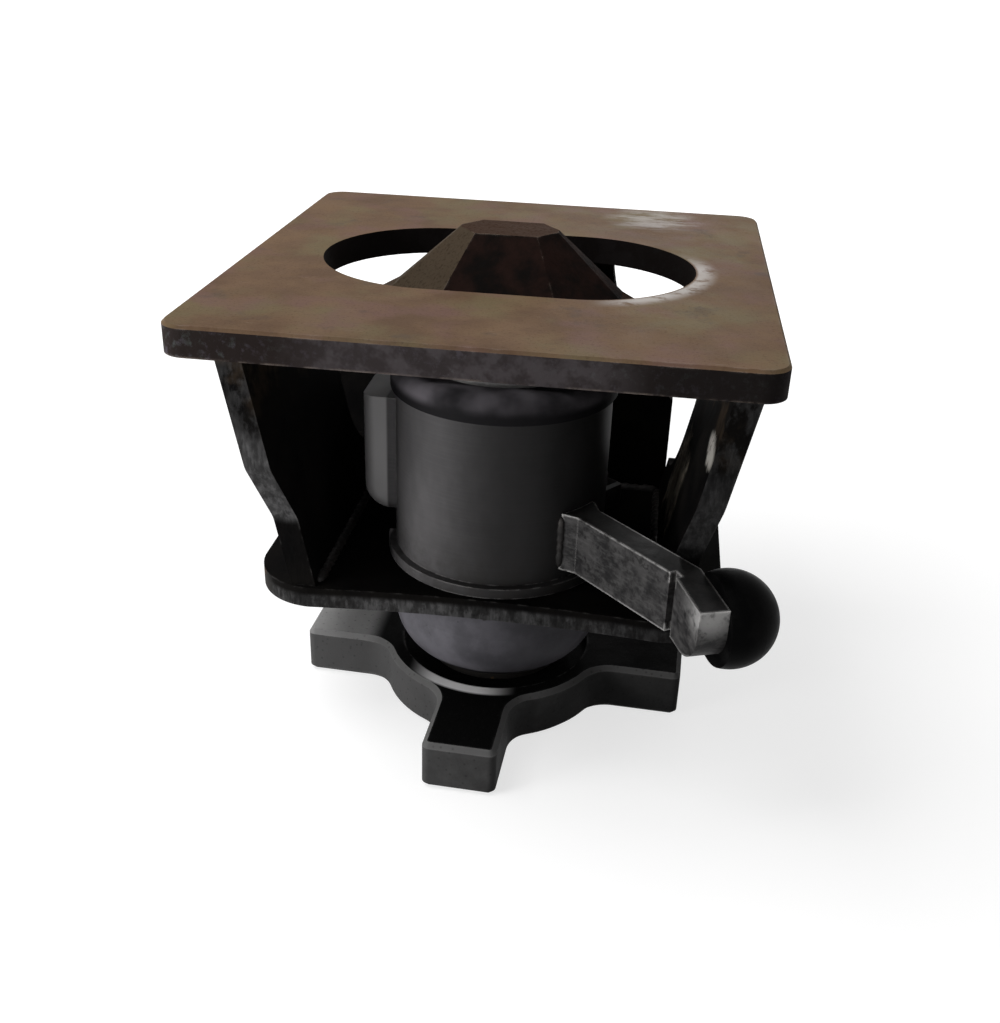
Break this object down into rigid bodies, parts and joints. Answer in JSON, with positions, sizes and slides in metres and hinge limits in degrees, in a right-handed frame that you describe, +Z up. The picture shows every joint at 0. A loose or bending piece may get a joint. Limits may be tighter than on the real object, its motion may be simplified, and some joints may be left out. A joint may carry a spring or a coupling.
{
  "type": "container twistlock",
  "caption": "Retractable twistlock for container corner fittings: faceted lock head raised by a star wheel and screw, turned by a side lever.",
  "frame": {"origin": "centre of the long opening in the mounting plate, on the plate's upper face, on the lock axis", "axes": "+Z up along the lock axis, out of the plate; +X along the opening; +Y towards the rear wall, so the open front looks along -Y"},
  "size_m": [0.1691, 0.168, 0.1641],
  "materials": {
    "plate_steel": "hot rolled, handled, with thin brown rust",
    "wall_steel": "dark oiled primer, worn on the edges",
    "boss_steel": "turned, dull",
    "sleeve_steel": "turned, dull, lightly oiled",
    "lever_steel": "flame cut bar, worn edges",
    "head_steel": "forged, dark brown scale",
    "wheel_iron": "as cast, dark",
    "screw_steel": "turned, greased",
    "small_steel": "plain, dull",
    "bush_bronze": "turned bronze",
    "knob_plastic": "black, moulded",
    "ring_rubber": "black, matt"
  },
  "bodies": {
    "housing": {"top_plate": "plate_steel", "left_cheek": "wall_steel", "right_cheek": "wall_steel", "rear_wall": "wall_steel", "base_plate": "wall_steel", "bearing_boss": "boss_steel", "flanged_bush": "bush_bronze", "stop_pin": "small_steel", "sleeve_keepers": "small_steel", "keeper_bolts": "small_steel"},
    "sleeve": {"turning_sleeve": "sleeve_steel", "feather_key": "small_steel", "key_screws": "small_steel", "wiper_ring": "ring_rubber", "lever_bar": "lever_steel", "knob_stud": "small_steel", "lever_knob": "knob_plastic"},
    "stem": {"lock_stem": "head_steel", "lift_nut": "bush_bronze", "lift_nut_pins": "small_steel"},
    "wheel": {"star_wheel": "wheel_iron", "lift_screw": "screw_steel", "thrust_washer": "bush_bronze", "wheel_key": "small_steel", "wheel_washer": "small_steel", "wheel_nut": "small_steel"}
  },
  "joints": [
    {"name": "lever_turn", "type": "hinge", "parent": "housing", "child": "sleeve", "pos_m": [0, 0, -0.07], "axis": [0, 0, -1], "range_deg": [0, 90]},
    {"name": "stem_lift", "type": "slide", "parent": "sleeve", "child": "stem", "axis": [0, 0, 1], "range_m": [0, 0.0571]},
    {"name": "wheel_spin", "type": "hinge", "parent": "housing", "child": "wheel", "pos_m": [0, 0, -0.14], "axis": [0, 0, -1], "range_deg": [0, 2052]}
  ],
  "couplings": [
    {"joint": "stem_lift", "follows": "wheel_spin", "m_per_rad": 0.0015915}
  ]
}
